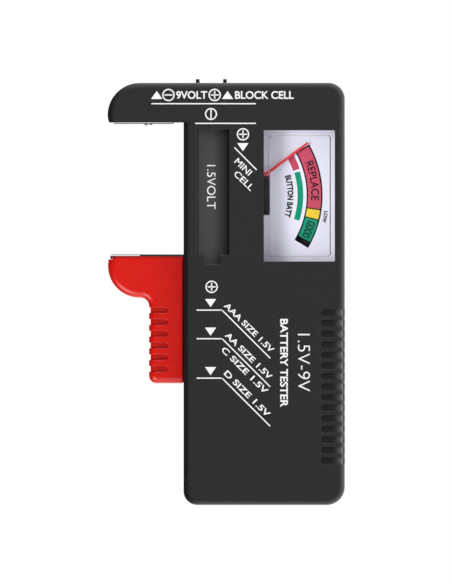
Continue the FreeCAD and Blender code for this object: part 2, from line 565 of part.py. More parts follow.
def negative_leaf():
    """Spring strip under the arm, with a pressed dome, held by its upright leg."""
    low = LEAF_TOP - LEAF
    blade = box(LEAF_LEFT, LEAF_RIGHT, -LEAF_HALF, LEAF_HALF, low, LEAF_TOP)
    leg = box(LEAF_RIGHT - LEAF, LEAF_RIGHT, -LEAF_HALF, LEAF_HALF, low, LEAF_LEG_TOP)
    tag = box(LEAF_RIGHT - LEAF, LEAF_RIGHT, -TAG_HALF, TAG_HALF, low, LEAF_LEG_TOP + TAG_RISE)
    leaf = fuse(blade, leg, tag)
    radius = (DOME_HALF**2 + DOME_HEIGHT**2) / (2 * DOME_HEIGHT)
    centre = V(DOME_X, 0, low - DOME_HEIGHT + radius)
    below = box(DOME_X - LEAF_HALF, DOME_X + LEAF_HALF, -LEAF_HALF, LEAF_HALF, low - radius, LEAF_TOP)
    bump = Part.makeSphere(radius, centre).common(below)
    dimple = Part.makeSphere(radius - LEAF, centre)
    return fuse(leaf, bump).cut(dimple)


def nine_volt_pin(x):
    """Shouldered contact pin, held from inside by its flange."""
    top, seat = HEIGHT + PIN_RISE, HEIGHT - WALL
    tip = rod_z(x, PIN_Y, PIN_R, seat, top)
    tip = tip.makeFillet(PIN_ROUND, [e for e in tip.Edges if e.BoundBox.ZMin > top - 0.01])
    shoulder = rod_z(x, PIN_Y, PIN_SHOULDER_R, PIN_FOOT, HEIGHT)
    return fuse(tip, shoulder, rod_z(x, PIN_Y, PIN_FLANGE_R, seat - PIN_FLANGE, seat))


def pane_outline(inset, radius, y):
    """Rounded rectangle of the window block, moved inwards by inset, at depth y."""
    left, right = PANE_LEFT + inset, PANE_RIGHT - inset
    low, high = PANE_LOW + inset, PANE_HIGH - inset
    corners = [(left, low, radius), (left, high, radius), (right, high, radius), (right, low, radius)]
    wire = Part.Wire(rounded_outline(corners))
    wire.translate(V(0, y, 0))
    return wire


def window_block():
    """Raised clear block that fills the window: an edge chamfer, a wide bevel and a steeper one."""
    back = PANE_FRONT + BEVEL_DEPTH
    wires = [pane_outline(0.0, PANE_CORNER, back)]
    body = Part.Face(wires[0]).extrude(V(0, ROOF + METER_WALL - back, 0))
    for inset, depth in BEVEL_STEPS:
        wires.append(pane_outline(inset, min(BEVEL_CORNER, PANE_CORNER + inset), PANE_FRONT + depth))
    for lower, upper in zip(wires, wires[1:]):
        body = body.fuse(Part.makeLoft([lower, upper], True, True))
    return body.removeSplitter()


def window_well():
    """Hollow of the window block."""
    front = pane_outline(WELL_INSET_FRONT, BEVEL_CORNER, PANE_FRONT + PANE_WALL)
    rear = pane_outline(WELL_INSET_REAR, BEVEL_CORNER, ROOF + 2 * METER_WALL)
    return Part.makeLoft([front, rear], True, True)


def meter_cover():
    """Clear stepped cover: a raised block fills the window, and a lower box covers the movement."""
    lower = box(METER_LEFT, METER_RIGHT, ROOF, BASE_FRONT, METER_LOW, METER_HIGH)
    left, right = METER_LEFT + METER_WALL, METER_RIGHT - METER_WALL
    low, high = METER_LOW + METER_WALL, METER_HIGH - METER_WALL
    cavity = box(left, right, ROOF + METER_WALL, BASE_FRONT + OVERCUT, low, high)
    return fuse(lower, window_block()).cut(cavity.fuse(window_well()))


def meter_base():
    """Back plate of the meter with the posts that carry the dial and the movement."""
    plate = box(METER_LEFT, METER_RIGHT, BASE_FRONT, BASE_REAR, METER_LOW, METER_HIGH)
    front, rear = BASE_FRONT - OVERCUT, BASE_REAR + OVERCUT
    places = dial_posts() + dial_rests()
    posts = [rod_y(x, z, DIAL_POST_R, DIAL_FRONT + DIAL, BASE_REAR) for x, z in places]
    for way in (-1, 1):
        z0, z1 = ring_span(way)
        posts.append(box(AXIS_X - YOKE_FOOT_HALF, AXIS_X + YOKE_FOOT_HALF, CORE_REAR, BASE_REAR, z0, z1))
    posts.append(spiral_peg(*REAR_SPIRAL))
    base = fuse(plate, *posts)
    for x, z in dial_posts():
        base = base.cut(rod_y(x, z, DIAL_SCREW_R + HOLE_GAP, DIAL_FRONT, BASE_FRONT - 4 * OVERCUT))
    base = base.cut(rod_y(AXIS_X, AXIS_Z, JEWEL_R + HOLE_GAP, front, rear))
    for x in TERMINAL_XS:
        base = base.cut(rod_y(x, TERMINAL_Z, TERMINAL_R, front, rear))
    return base


def ring_span(way):
    """Lowest and highest point of what stands under the yoke ring, above (way 1) or below the axis."""
    return sorted((AXIS_Z + way * (RING_IN + RING_BITE), AXIS_Z + way * RING_OUT))


def dial_posts():
    """The screwed posts, which the front cover hides."""
    heights = (METER_LOW + DIAL_POST_INSET, METER_HIGH - DIAL_POST_INSET)
    return [(x, z) for x in DIAL_POST_XS for z in heights]


def dial_rests():
    """Plain posts under the dial's right edge."""
    heights = (METER_LOW + DIAL_POST_INSET, METER_HIGH - DIAL_POST_INSET)
    return [(METER_RIGHT - DIAL_REST_INSET, z) for z in heights]


def dial_plate():
    """White card with a bay on the left for the movement."""
    inset = METER_WALL + CARD_GAP
    front, rear = DIAL_FRONT - OVERCUT, DIAL_FRONT + OVERCUT
    left, right = METER_LEFT + inset, METER_RIGHT - inset
    plate = box(left, right, DIAL_FRONT, DIAL_FRONT + DIAL, METER_LOW + inset, METER_HIGH - inset)
    plate = plate.cut(box(BAY_LEFT, BAY_RIGHT, front, rear, AXIS_Z - BAY_HALF, AXIS_Z + BAY_HALF))
    for x, z in dial_posts():
        plate = plate.cut(rod_y(x, z, DIAL_SCREW_R + 2 * HOLE_GAP, front, rear))
    return plate


def dial_screw(x, z):
    shank = rod_y(x, z, DIAL_SCREW_R, DIAL_FRONT, DIAL_FRONT + DIAL_SCREW_LENGTH)
    top = DIAL_FRONT - DIAL_SCREW_HEAD
    head = rod_y(x, z, DIAL_SCREW_HEAD_R, top, DIAL_FRONT)
    reach, half = DIAL_SCREW_HEAD_R + HOLE_GAP, DIAL_SCREW_SLOT_HALF
    slot = box(x - reach, x + reach, top, top + DIAL_SCREW_SLOT, z - half, z + half)
    return fuse(shank, head).cut(slot)


def needle_stops():
    """Two pins on the dial's bay edges that end the needle's swing."""
    pins = []
    for degrees in (NEEDLE_REST + STOP_LEAD, NEEDLE_REST - NEEDLE_SWEEP - STOP_LEAD):
        angle = math.radians(degrees)
        x, z = AXIS_X + STOP_REACH * math.cos(angle), AXIS_Z + STOP_REACH * math.sin(angle)
        pin = rod_y(x, z, STOP_R, NEEDLE_FRONT - STOP_RISE, DIAL_FRONT)
        z0, z1 = sorted((z, z + math.copysign(STOP_FOOT, degrees)))
        y0 = DIAL_FRONT - STOP_FOOT_THICK
        pins.append(fuse(pin, box(x - STOP_FOOT_HALF, x + STOP_FOOT_HALF, y0, DIAL_FRONT, z0, z1)))
    return pins


def magnet_core():
    return rod_y(AXIS_X, AXIS_Z, CORE_R, CORE_FRONT, CORE_REAR)


def yoke_ring():
    """Soft-iron return ring, with two ears that hold the core clear of the coil's swing."""
    ring = rod_y(AXIS_X, AXIS_Z, RING_OUT, CORE_FRONT, CORE_REAR)
    ring = ring.cut(rod_y(AXIS_X, AXIS_Z, RING_IN, CORE_FRONT, CORE_REAR))
    front, rear = CORE_FRONT + EAR_INSET, CORE_REAR - EAR_INSET
    ears = []
    for way in (-1, 1):
        z0, z1 = sorted((AXIS_Z + way * (CORE_R - EAR_BITE), AXIS_Z + way * (RING_IN + RING_BITE)))
        ears.append(box(AXIS_X - EAR_HALF, AXIS_X + EAR_HALF, front, rear, z0, z1))
    return fuse(ring, *ears).cut(magnet_core())


def spiral_end():
    """Inner and outer distance of a hairspring's last turn from the axis."""
    inner = COLLET_R + SPIRAL_PITCH * SPIRAL_TURNS
    return inner, inner + SPIRAL


def spiral_peg(y0, y1):
    """Peg that a hairspring's outer end is soldered to."""
    z0, z1 = ring_span(1)
    left, right = AXIS_X + PEG_LEFT, AXIS_X + spiral_end()[1] + PEG_MARGIN
    return box(left, right, y0 - SPIRAL, y1 + SPIRAL, z0, z1)


def front_bridge():
    """Brass bridge over the movement that carries the front jewel screw."""
    left, right = AXIS_X - BRIDGE_HALF, AXIS_X + BRIDGE_HALF
    span = box(left, right, BRIDGE_FRONT, BRIDGE_REAR, AXIS_Z - RING_OUT, AXIS_Z + RING_OUT)
    legs = [spiral_peg(*FRONT_SPIRAL)]
    for way in (-1, 1):
        legs.append(box(left, right, BRIDGE_FRONT, CORE_FRONT, *ring_span(way)))
    return fuse(span, *legs).cut(rod_y(AXIS_X, AXIS_Z, JEWEL_R, BRIDGE_FRONT, BRIDGE_REAR))


def jewel_screw(y0, y1, cup_y, cup_way):
    """Threaded brass bearing screw with a blind cup for the staff's point."""
    screw = rod_y(AXIS_X, AXIS_Z, JEWEL_R, y0, y1)
    return screw.cut(rod_y(AXIS_X, AXIS_Z, STAFF_R + JEWEL_CUP_GAP, *sorted((cup_y, cup_y + cup_way))))


def coil_loop(inner_x, outer_x, front, rear, wall, half):
    """A rectangular loop round the core; front and rear are the ends of its opening."""
    outer = box(AXIS_X - outer_x, AXIS_X + outer_x, front - wall, rear + wall, AXIS_Z - half, AXIS_Z + half)
    return outer.cut(box(AXIS_X - inner_x, AXIS_X + inner_x, front, rear, AXIS_Z - half, AXIS_Z + half))


def coil_former():
    inset = WINDING_WALL + FORMER
    outer_x = FORMER_X + FORMER
    loop = coil_loop(FORMER_X, outer_x, COIL_FRONT + inset, COIL_REAR - inset, FORMER, FORMER_HALF)
    return turned(loop, COIL_ANGLE)


def coil_winding():
    inner_x = FORMER_X + FORMER
    front, rear = COIL_FRONT + WINDING_WALL, COIL_REAR - WINDING_WALL
    loop = coil_loop(inner_x, inner_x + WINDING, front, rear, WINDING_WALL, WINDING_HALF)
    return turned(loop, COIL_ANGLE)


def pivot_staffs():
    """Hardened staffs fixed to the coil's front and rear, each with a flange and a spring collet."""
    front = rod_y(AXIS_X, AXIS_Z, STAFF_R, STAFF_FRONT, COIL_FRONT)
    front_flange = rod_y(AXIS_X, AXIS_Z, COLLET_R, COIL_FRONT - FLANGE, COIL_FRONT)
    front_collet = rod_y(AXIS_X, AXIS_Z, COLLET_R, *FRONT_SPIRAL)
    rear = rod_y(AXIS_X, AXIS_Z, STAFF_R, COIL_REAR, STAFF_REAR)
    rear_flange = rod_y(AXIS_X, AXIS_Z, COLLET_R, COIL_REAR, COIL_REAR + FLANGE)
    rear_collet = rod_y(AXIS_X, AXIS_Z, COLLET_R, *REAR_SPIRAL)
    return [fuse(front, front_flange, front_collet), fuse(rear, rear_flange, rear_collet)]


def needle():
    """Pointer blade with its hub and the tail that carries the balance weight."""
    tail, tip = AXIS_X - NEEDLE_TAIL, AXIS_X + NEEDLE_LENGTH
    below = [(tail, -TAIL_HALF), (AXIS_X, -ROOT_HALF), (tip, -TIP_HALF)]
    above = [(x, -rise) for x, rise in reversed(below)]
    corners = [(x, AXIS_Z + rise, 0) for x, rise in below + above]
    blade = prism(rounded_outline(corners), NEEDLE_FRONT, NEEDLE_FRONT + NEEDLE)
    front, rear = NEEDLE_FRONT - HUB_FRONT, NEEDLE_FRONT + HUB_REAR
    pointer = fuse(blade, rod_y(AXIS_X, AXIS_Z, HUB_R, front, rear))
    return turned(pointer.cut(rod_y(AXIS_X, AXIS_Z, STAFF_R, front, rear)), NEEDLE_REST)


def balance_weight():
    """Brass slug under the tail that balances the pointer about its pivots."""
    y0 = NEEDLE_FRONT + NEEDLE
    slug = rod_y(AXIS_X - BALANCE_REACH, AXIS_Z, BALANCE_R, y0, y0 + BALANCE_LENGTH)
    return turned(slug, NEEDLE_REST)


def spiral_edges(offset, top):
    """One side of a hairspring: half-turn arcs that widen outwards, then a straight end."""
    edges, x_now = [], AXIS_X + COLLET_R + offset
    for i in range(2 * SPIRAL_TURNS):
        side = 1 if i % 2 == 0 else -1
        width = 2 * (COLLET_R + offset) + SPIRAL_PITCH * (i + 0.5)
        x_next = x_now - side * width
        middle = V((x_now + x_next) / 2, 0, AXIS_Z + side * width / 2)
        edges.append(Part.Arc(V(x_now, 0, AXIS_Z), middle, V(x_next, 0, AXIS_Z)).toShape())
        x_now = x_next
    edges.append(Part.LineSegment(V(x_now, 0, AXIS_Z), V(x_now, 0, top)).toShape())
    return edges


def hairspring(y0, y1):
    """Spiral from the staff's collet out to its peg."""
    top = ring_span(1)[0]
    inside, outside = spiral_edges(0.0, top), spiral_edges(SPIRAL, top)
    start_x = AXIS_X + COLLET_R
    start = Part.LineSegment(V(start_x, 0, AXIS_Z), V(start_x + SPIRAL, 0, AXIS_Z)).toShape()
    inner, outer = spiral_end()
    end = Part.LineSegment(V(AXIS_X + inner, 0, top), V(AXIS_X + outer, 0, top)).toShape()
    return prism(Part.__sortEdges__(inside + outside + [start, end]), y0, y1)


def meter_terminals():
    return [rod_y(x, TERMINAL_Z, TERMINAL_R, BASE_FRONT, BOARD_REAR + TERMINAL_TAIL) for x in TERMINAL_XS]


def circuit_board():
    board = box(BOARD_LEFT, BOARD_RIGHT, BOARD_FRONT, BOARD_REAR, BOARD_LOW, BOARD_HIGH)
    for x in TERMINAL_XS:
        board = board.cut(rod_y(x, TERMINAL_Z, TERMINAL_R + HOLE_GAP, BOARD_FRONT, BOARD_REAR))
    return board


def resistor(x0, x1, z, radius, wire):
    """Axial resistor lying on the board, with dog-bone ends and bent leads."""
    y = BOARD_REAR + radius + RESISTOR_LIFT
    body = Part.makeCylinder(radius, x1 - x0, V(x0, y, z), X_AXIS)
    body = body.makeFillet(radius * RESISTOR_ROUND, body.Edges)
    leads = []
    for x, way in ((x0, -1), (x1, 1)):
        bend_x = x + way * RESISTOR_REACH
        leads.append(Part.makeCylinder(wire, RESISTOR_REACH, V(x, y, z), X_AXIS * way))
        leads.append(Part.makeSphere(wire, V(bend_x, y, z)))
        leads.append(Part.makeCylinder(wire, y - BOARD_REAR, V(bend_x, BOARD_REAR, z), Y_AXIS))
    return fuse(body, *leads)


RESISTORS = {                 # body's left and right end, height, radius, radius of its wire
    "load_resistor": (-3.5, 6.5, 90.5, 1.7, 0.35),
    "series_resistor": (-3.0, 3.5, 84.5, 1.15, 0.28),
    "nine_volt_resistor": (-3.0, 3.5, 79.5, 1.15, 0.28),
}


def smooth_path(points):
    """Straight runs joined by the largest tangent arcs that the runs allow."""
    runs = [(b - a).Length for a, b in zip(points, points[1:])]
    edges, here = [], points[0]
    radii = []
    for i in range(1, len(points) - 1):
        back = (points[i - 1] - points[i]).normalize()
        ahead = (points[i + 1] - points[i]).normalize()
        half = back.getAngle(ahead) / 2
        reach = 0.45 * min(runs[i - 1], runs[i])
        radius = reach * math.tan(half)
        middle = (back + ahead).normalize()
        crown = points[i] + middle * (radius / math.sin(half) - radius)
        enter, leave = points[i] + back * reach, points[i] + ahead * reach
        edges.append(Part.LineSegment(here, enter).toShape())
        edges.append(Part.Arc(enter, crown, leave).toShape())
        here = leave
        radii.append(radius)
    edges.append(Part.LineSegment(here, points[-1]).toShape())
    return Part.Wire(edges), radii


def lead(name, points):
    """Insulated lead along its route."""
    path, radii = smooth_path([V(*p) for p in points])
    start = path.Edges[0]
    ring = Part.Wire(Part.makeCircle(LEAD_R, start.Vertexes[0].Point, start.tangentAt(start.FirstParameter)))
    tube = path.makePipeShell([ring], True, False)
    expected = math.pi * LEAD_R**2 * path.Length
    share = tube.Volume / expected
    print(f"{name}: {path.Length:.1f} mm, volume share {share:.4f}, tightest radius {min(radii):.2f} mm")
    return tube


LEADS = {
    "negative_lead": [
        (LEAF_RIGHT, 0, 104.9), (-21.6, 0, 104.9), (-16.0, 2.0, 105.0), (-11.5, 6.5, 102.6),
        (-9.4, 9.2, 97.5), (-9.0, 9.3, 91.0), (-9.0, BOARD_REAR, 91.0),
    ],
    "positive_lead": [
        (RAIL_X + RAIL, 0, 100.0), (-12.0, 0, 100.0), (-9.4, 3.2, 100.6), (-7.2, 7.4, 98.4),
        (-6.6, 9.0, 93.6), (-6.6, 9.0, 87.4), (-6.6, BOARD_REAR, 87.4),
    ],
    "nine_volt_negative_lead": [
        (PIN_XS[0], PIN_Y, PIN_FOOT), (PIN_XS[0], PIN_Y, 103.8), (-15.4, 1.0, 101.6), (-12.0, 6.6, 99.6),
        (-10.4, 9.4, 94.0), (-10.0, 9.3, 85.0), (-10.0, BOARD_REAR, 85.0),
    ],
    "nine_volt_positive_lead": [
        (PIN_XS[1], PIN_Y, PIN_FOOT), (PIN_XS[1], PIN_Y, 104.0), (-6.0, 0.5, 101.8), (0.5, 5.4, 100.6),
        (9.6, 8.9, 97.0), (11.4, 9.2, 90.0), (9.0, 9.2, 80.0), (9.0, BOARD_REAR, 80.0),
    ],
}


def build():
    """Every node's name and its solids."""
    nodes = {
        "front_cover": [front_cover()],
        "rear_cover": [rear_cover()],
        "case_screws": [case_screw(x, z) for x, z in SCREWS],
        "slider_grip": [slider_grip()],
        "slider_contact_strip": [slider_contact_strip()],
        "wiper_spring": [wiper_spring()],
        "wiper_rivets": wiper_rivets(),
        "contact_rail": [contact_rail()],
        "negative_contact_leaf": [negative_leaf()],
        "nine_volt_negative_pin": [nine_volt_pin(PIN_XS[0])],
        "nine_volt_positive_pin": [nine_volt_pin(PIN_XS[1])],
        "meter_cover": [meter_cover()],
        "meter_base": [meter_base()],
        "dial_plate": [dial_plate()],
        "dial_screws": [dial_screw(x, z) for x, z in dial_posts()],
        "needle_stops": needle_stops(),
        "magnet_core": [magnet_core()],
        "yoke_ring": [yoke_ring()],
        "front_bridge": [front_bridge()],
        "front_jewel_screw": [jewel_screw(*FRONT_JEWEL)],
        "rear_jewel_screw": [jewel_screw(*REAR_JEWEL)],
        "needle": [needle()],
        "balance_weight": [balance_weight()],
        "coil_former": [coil_former()],
        "coil_winding": [coil_winding()],
        "pivot_staffs": pivot_staffs(),
        "front_hairspring": [hairspring(*FRONT_SPIRAL)],
        "rear_hairspring": [hairspring(*REAR_SPIRAL)],
        "meter_terminals": meter_terminals(),
        "circuit_board": [circuit_board()],
    }
    for name, size in RESISTORS.items():
        nodes[name] = [resistor(*size)]
    for name, points in LEADS.items():
        nodes[name] = [lead(name, points)]
    return nodes


def main():
    os.makedirs("parts", exist_ok=True)
    for name, solids in build().items():
        shape = solids[0] if len(solids) == 1 else Part.makeCompound(solids)
        valid = shape.isValid() and all(s.isClosed() for s in shape.Shells)
        if not valid or len(shape.Solids) != len(solids):
            print(f"CHECK {name}: valid {valid}, solids {len(shape.Solids)} of {len(solids)}")
        shape.exportStep(f"parts/{name}.step")


main()
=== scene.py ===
"""Looks of the hand-held battery tester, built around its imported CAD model.

The CAD nodes keep their shapes and get their materials here. The printing on the case and the dial's
artwork are thin meshes of their own, which ride on the housing.
Lengths below are in millimetres in the CAD frame (X right, Y back, Z up) and turned into metres by MM.
"""

import json
import math

import bmesh
import bpy
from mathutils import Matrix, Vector


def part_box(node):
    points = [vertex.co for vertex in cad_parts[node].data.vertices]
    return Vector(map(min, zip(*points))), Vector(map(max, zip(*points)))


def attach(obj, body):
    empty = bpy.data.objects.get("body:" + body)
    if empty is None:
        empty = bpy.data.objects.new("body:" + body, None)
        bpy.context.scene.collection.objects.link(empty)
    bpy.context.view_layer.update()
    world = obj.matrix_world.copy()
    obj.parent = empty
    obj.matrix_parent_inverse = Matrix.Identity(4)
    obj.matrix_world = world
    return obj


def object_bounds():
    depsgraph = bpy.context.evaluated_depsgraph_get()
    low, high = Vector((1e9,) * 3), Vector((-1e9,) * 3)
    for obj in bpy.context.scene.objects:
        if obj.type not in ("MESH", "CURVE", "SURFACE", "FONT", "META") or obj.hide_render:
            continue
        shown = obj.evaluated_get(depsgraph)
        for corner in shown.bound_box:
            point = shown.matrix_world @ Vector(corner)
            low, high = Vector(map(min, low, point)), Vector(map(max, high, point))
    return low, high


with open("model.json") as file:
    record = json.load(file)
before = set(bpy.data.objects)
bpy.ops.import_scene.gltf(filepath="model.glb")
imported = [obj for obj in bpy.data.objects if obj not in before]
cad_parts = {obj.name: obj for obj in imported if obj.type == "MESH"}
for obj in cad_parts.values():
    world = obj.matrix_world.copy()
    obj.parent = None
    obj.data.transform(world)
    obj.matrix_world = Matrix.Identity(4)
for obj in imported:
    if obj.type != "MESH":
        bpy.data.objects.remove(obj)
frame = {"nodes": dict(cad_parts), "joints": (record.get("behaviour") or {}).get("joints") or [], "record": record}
cad_low, cad_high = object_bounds()

MM = 0.001
NODES = frame["nodes"]
JOINTS = {joint["name"]: joint for joint in frame["joints"]}
PIVOT = Vector(JOINTS["needle_swing"]["pos_m"])
CASE_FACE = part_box("front_cover")[0].y       # Y of the housing's front
DIAL_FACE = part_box("dial_plate")[0].y        # Y of the dial card's front

# Camera: height of what it sees, middle of its view and distance in front of the housing's middle
VIEW_HEIGHT, VIEW_X, VIEW_Z, VIEW_DISTANCE = 152.2, -9.95, 55.5, 900.0
CLIP_END = 10                                # in metres

# Studio: radiance in front, how much brighter it is aside and behind, and where it changes from one to
# the other, in parts of a unit direction
WORLD_BASE, SIDE_LIFT = 0.10, 3.0
SIDE_FROM, SIDE_TO = 0.5, 0.95
BEHIND_FROM, BEHIND_TO = 0.0, 0.3
LEFT_DARK, LEFT_CLEAR = -0.55, 0.05
REAR_FROM, REAR_TO, REAR_DIM = 0.80, 0.96, 0.65   # straight behind it is dimmer, for the screws' sake
BACKDROP, STUDIO_TINT = (1, 1, 1, 1), (0.97, 0.98, 1.0, 1)

FLOOR_RADIUS, FLOOR_CORNERS = 1600.0, 128
FLOOR_GAP = 0.02                             # between the floor and the tester's foot

DIAL_PIECES = [
    "dial_band_rim",
    "dial_field_replace",
    "dial_field_low",
    "dial_field_good",
    "dial_button_replace",
    "dial_button_good",
    "dial_words",
    "dial_band_words",
]
METER = [
    "meter_cover",
    "meter_base",
    "dial_plate",
    "needle",
    "balance_weight",
    "front_bridge",
    "yoke_ring",
    "magnet_core",
    "front_hairspring",
    "coil_former",
    "coil_winding",
    *DIAL_PIECES,
]
GRIP = ["slider_grip"]
CENTRE, DIAL_MIDDLE, GRIP_MIDDLE = (-8, 0, 60), (9, -9, 80), (-30, 0, 50)
LIGHTS = (                                   # name, place, aim, width and height, watts, pieces it lights
    ("key", (-260, -560, 700), CENTRE, (360, 360), 1.4, []),
    ("fill", (240, -900, 260), CENTRE, (500, 500), 1.1, []),
    ("meter_key", (-500, -550, 80), DIAL_MIDDLE, (280, 360), 3.3, METER),
    ("grip_glow", (-345, -413, -426), GRIP_MIDDLE, (420, 300), 7.0, GRIP),
    ("grip_top", (-60, -500, 500), GRIP_MIDDLE, (300, 250), 1.35, GRIP),
)

# Cell-shaped recess with its foot, as the front cover has it, and its painted shade and sheen from left rim to
# right rim (dark rims, pale middle)
TROUGH_X, TROUGH_HALF, TROUGH_DEPTH = -13.4, 4.15, 2.0
TROUGH_LOW, TROUGH_HIGH = 62.8, 97.9
TROUGH_MARGIN, TROUGH_SKIN = 0.1, 0.03       # what is taken beyond its ends, and left out at its mouth
TROUGH_PAINTED_SHADE = [
    (0.0, 0.003),
    (0.08, 0.010),
    (0.22, 0.027),
    (0.5, 0.055),
    (0.75, 0.043),
    (0.92, 0.030),
    (1.0, 0.008),
]
SEAM_HALF, SEAM_TONE = 0.09, (0.002, 0.002, 0.002, 1)   # dark line where the two covers meet, at Y 0

NOISE_LOW, NOISE_HIGH = 0.3, 0.7             # most of a noise texture's values lie between these
EVEN, LINES = (1, 1, 1), (1, 12, 1)          # a noise's stretch along X, Y and Z
METAL_DARK = 0.86                            # share of a metal's colour in its darkest lines
METAL_ROUGH, PLASTIC_ROUGH = (0.8, 1.3), (0.9, 1.1)   # least and most of the roughness given
STEEL, BRASS = (0.62, 0.62, 0.63), (0.78, 0.56, 0.24)
METALS = (                                   # slot, name, colour, roughness, grain, features per metre, depth
    ("plated_strip", "bright_plate", (0.33, 0.33, 0.34), 0.08, LINES, 2500, 0.002),
    ("dark_pin", "dark_pin_plate", (0.05, 0.05, 0.055), 0.35, LINES, 2500, 0.002),
    ("screw_steel", "zinc_screw", STEEL, 0.3, EVEN, 4000, 0.002),
    ("brass", "turned_brass", BRASS, 0.28, EVEN, 5000, 0.002),
    ("bronze", "spring_bronze", (0.70, 0.44, 0.23), 0.25, EVEN, 5000, 0.002),
    ("magnet_alloy", "magnet_alloy", (0.30, 0.30, 0.31), 0.45, EVEN, 2500, 0.01),
    ("soft_iron", "soft_iron", (0.45, 0.45, 0.46), 0.35, EVEN, 3000, 0.002),
    ("former_aluminium", "former_aluminium", (0.78, 0.78, 0.79), 0.3, EVEN, 4000, 0.002),
    ("copper_wire", "copper_wire", (0.80, 0.38, 0.19), 0.22, EVEN, 6000, 0.004),
    ("staff_steel", "staff_steel", STEEL, 0.15, EVEN, 4000, 0.002),
    ("spring_nickel", "spring_nickel", (0.70, 0.68, 0.67), 0.35, LINES, 2500, 0.002),
)
PLASTICS = (      # slot, name, colour, roughness, features per metre, depth, contrast, specular level
    ("meter_plastic", "meter_abs", (0.5, 0.5, 0.48), 0.5, 4000, 0.004, 0.08, 0.5),
    ("dial_card", "dial_enamel", (0.80, 0.79, 0.88), 0.38, 6000, 0.001, 0.01, 0.5),
    ("board_laminate", "board_laminate", (0.42, 0.27, 0.11), 0.45, 2500, 0.004, 0.15, 0.5),
    ("black_lead", "black_insulation", (0.02, 0.02, 0.02), 0.42, 2500, 0.006, 0.08, 0.5),
    ("red_lead", "red_insulation", (0.55, 0.02, 0.015), 0.42, 2500, 0.006, 0.08, 0.5),
    ("needle_paint", "needle_enamel", (0.72, 0.035, 0.05), 0.3, 6000, 0.001, 0.05, 0.5),
    ("white_ink", "white_ink", (0.85, 0.85, 0.85), 0.45, 5000, 0.003, 0.015, 0.5),
    ("black_ink", "black_ink", (0.003, 0.003, 0.005), 0.5, 6000, 0.001, 0.08, 0.05),
    ("red_ink", "red_ink", (0.56, 0.07, 0.12), 0.5, 6000, 0.001, 0.03, 0.1),
    ("yellow_ink", "yellow_ink", (0.82, 0.58, 0.035), 0.5, 6000, 0.001, 0.03, 0.1),
    ("green_ink", "green_ink", (0.003, 0.285, 0.15), 0.5, 6000, 0.001, 0.03, 0.1),
)
FINISHES = {"negative_contact_leaf": "spring_nickel"}   # where a node isn't finished as its slot says

# Resistors: the body's colour by slot, and what lies where along one as a share of its length
RESISTOR_BODIES = {"resistor_ceramic": (0.66, 0.64, 0.56), "resistor_lacquer": (0.62, 0.43, 0.24)}
WIRE_TONE, BODY_FROM, BODY_TO = (0.62, 0.62, 0.62), 0.17, 0.83
RESISTOR_BANDS = (                           # start, end, colour
    (0.26, 0.34, (0.75, 0.22, 0.02)),
    (0.42, 0.50, (0.12, 0.035, 0.01)),
    (0.56, 0.62, (0.55, 0.36, 0.08)),
)

# Printing on the case: thickness, strokes, and the signs' and arrows' sizes
INK = 0.03
WELD = 1e-5                                  # joins a letter's coincident points, at a font size of 1
LINE_WIDTH = 0.32
END_STEPS, ARC_STEP = 8, 2.5                 # facets in a line's round end, degrees in an arc's facet
SIGN_RADIUS, CONTACT_SIGN_RADIUS, SIGN_STROKE = 1.62, 1.57, 0.34
SIGN_REACH, BAR_REACH = 0.56, 1.2            # a sign's arm by its radius, and an upright bar by its arm
SIGN_GAP = 0.02                              # keeps a plus sign's upright clear of its bar
ARROW_WIDTH, ARROW_HEIGHT = 2.95, 2.12
TOP_SIGN_Z, TOP_TEXT_Z, TOP_CAPS, TOP_WEIGHT = 106.85, 105.8, 2.08, 0.022
TOP_RULE = ((-29.25, 104.58), (-2.3, 104.58))
CONTACT_RULE = ((-17.85, 99.45), (-2.3, 99.45))
DOWNWARDS, DOWNHILL = -90.0, -45.0           # angles that text runs at
MINI_CAPS, MINI_ANGLE, MINI_WEIGHT = 1.7, -44.0, 0.012
SIZE_MARKS = {"AAA": 50.78, "AA": 43.33, "D": 33.05}   # Z of the mark for each size of cell
MARK_X, MARK_LEFT, MARK_BEND, MARK_FALL = -13.97, -17.5, -10.97, 12.45
ARROW_LIFT = 1.85
SIZE_CAPS, SIZE_WEIGHT = 1.6, 0.02
SIZE_TEXTS = (      # text, its mark, start along and above the mark's slope, length
    ("AAA SIZE 1.5V", "AAA", -0.45, 0.95, 17.3),
    ("AA SIZE 1.5V", "AA", -0.1, 0.95, 16.3),
    ("C SIZE 1.5V", "AA", 1.9, -2.45, 16.2),
    ("D SIZE 1.5V", "D", -0.5, 0.95, 16.0),
)
TITLES = (          # text, start, cap height, length, weight
    ("BATTERY TESTER", (4.15, 48.5), 2.05, 23.0, 0.025),
    ("1.5V-9V", (8.75, 44.6), 3.2, 15.0, -0.01),
)
RECESS_TEXT, RECESS_CAPS, RECESS_LENGTH = (-14.9, 88.6), 2.24, 11.5
CURVED_EDGE, CURVED_CUTS = 0.3, 3            # longer edges are cut before print is laid on a curve

# Dial: the arcs' centre from the needle's axis, radii, and angles in degrees above +X
ARC_SHIFT_X, ARC_SHIFT_Z = -4.95, 0.0
BAND_IN, BAND_OUT, BAND_RIM = 23.2, 26.6, 0.38
BAND_START, RED_END, YELLOW_END, GREEN_END, BLACK_END = 28.7, -8.1, -14.0, -27.0, -30.6
FIELD_GAP = 0.35                             # half of the angle between two fields
BUTTON_RED = (20.3, 22.1, 18.2, 28.6)        # inner and outer radius, start and end
BUTTON_GREEN = (20.45, 21.95, -17.6, 16.6)
DIAL_WORDS = (                               # text, baseline radius, cap height, start, end, weight
    ("BUTTON BATT", 17.8, 1.6, 16.2, -17.7, 0.045),
    ("LOW", 27.7, 1.05, -8.4, -14.6, 0.045),
)
BAND_WORDS = (
    ("REPLACE", 24.0, 2.05, 20.6, -3.0, 0.012),
    ("GOOD", 24.0, 2.05, -15.7, -26.2, 0.03),
)
LAYER = 0.02                                 # thickness of one layer of the artwork


